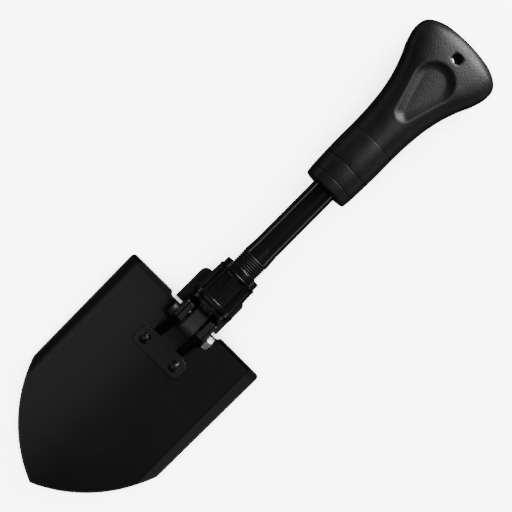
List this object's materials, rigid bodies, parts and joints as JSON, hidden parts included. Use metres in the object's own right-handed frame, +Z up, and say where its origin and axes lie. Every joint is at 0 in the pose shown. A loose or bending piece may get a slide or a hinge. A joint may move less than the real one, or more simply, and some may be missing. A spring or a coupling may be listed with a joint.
{
  "type": "folding camp shovel",
  "caption": "Short folding camp shovel: pointed sheet-steel blade on a locking hinge, fluted lock nut, and a flared grip that telescopes on a round tube.",
  "frame": {"origin": "bottom centre of the bounding box, with the blade open and the handle drawn out", "axes": "+Y along the handle towards the grip, so the blade's tip is at -Y; +X to the right; +Z up, out of the blade's hollow face"},
  "size_m": [0.1202, 0.4192, 0.0399],
  "materials": {
    "blade_paint": "semi-gloss black paint",
    "bracket_paint": "satin black paint",
    "rivet_paint": "satin black paint",
    "black_bolt": "black oxide",
    "zinc_steel": "bright zinc plate",
    "fibre_washer": "dark fibre",
    "yoke_paint": "satin black paint",
    "tube_gloss_paint": "gloss black paint",
    "bronze_bush": "sintered bronze",
    "thread_black": "black oxide, oiled",
    "slide_plastic": "natural acetal",
    "nut_black": "gloss black",
    "insert_steel": "plain steel",
    "ring_black": "satin black",
    "collar_nylon": "fine-textured nylon",
    "seal_rubber": "matt rubber",
    "grip_nylon": "fine-textured nylon",
    "liner_aluminium": "drawn"
  },
  "bodies": {
    "shaft": {"shaft_tube": "tube_gloss_paint", "yoke": "yoke_paint", "tongue_bush": "bronze_bush", "hammer_plate": "bracket_paint", "plate_screw": "black_bolt", "threaded_sleeve": "thread_black", "yoke_pin": "zinc_steel", "stop_ring": "slide_plastic", "tube_plug": "slide_plastic"},
    "blade": {"blade": "blade_paint", "hinge_bracket": "bracket_paint", "cam_plate_left": "bracket_paint", "cam_plate_right": "bracket_paint", "bracket_rivets": "rivet_paint", "hinge_bolt": "black_bolt", "hinge_nut": "zinc_steel", "hinge_washers": "black_bolt", "friction_washers": "fibre_washer"},
    "thrust_ring": {"thrust_ring": "ring_black", "thrust_washer": "fibre_washer"},
    "lock_nut": {"lock_nut": "nut_black", "nut_insert": "insert_steel"},
    "grip": {"grip_body": "grip_nylon", "grip_liner": "liner_aluminium", "collet": "slide_plastic", "anti_turn_key": "insert_steel", "end_bumper": "seal_rubber", "wiper_ring": "collar_nylon", "tube_seal": "seal_rubber"},
    "twist_collar": {"twist_collar": "collar_nylon", "collar_band": "collar_nylon"}
  },
  "joints": [
    {"name": "blade_fold", "type": "hinge", "parent": "shaft", "child": "blade", "pos_m": [0, -0.0583, 0.0234], "axis": [-1, 0, 0], "range_deg": [0, 180]},
    {"name": "nut_advance", "type": "slide", "parent": "shaft", "child": "thrust_ring", "axis": [0, 1, 0], "range_m": [0, 0.01]},
    {"name": "nut_turn", "type": "hinge", "parent": "thrust_ring", "child": "lock_nut", "pos_m": [0, -0.0233, 0.0214], "axis": [0, 1, 0], "range_deg": [0, 2117]},
    {"name": "handle_slide", "type": "slide", "parent": "shaft", "child": "grip", "axis": [0, -1, 0], "range_m": [0, 0.05]},
    {"name": "collar_twist", "type": "hinge", "parent": "grip", "child": "twist_collar", "pos_m": [0, 0.0967, 0.0214], "axis": [0, 1, 0], "range_deg": [0, 90]}
  ],
  "couplings": [
    {"joint": "nut_advance", "follows": "nut_turn", "m_per_rad": 0.00027056}
  ]
}
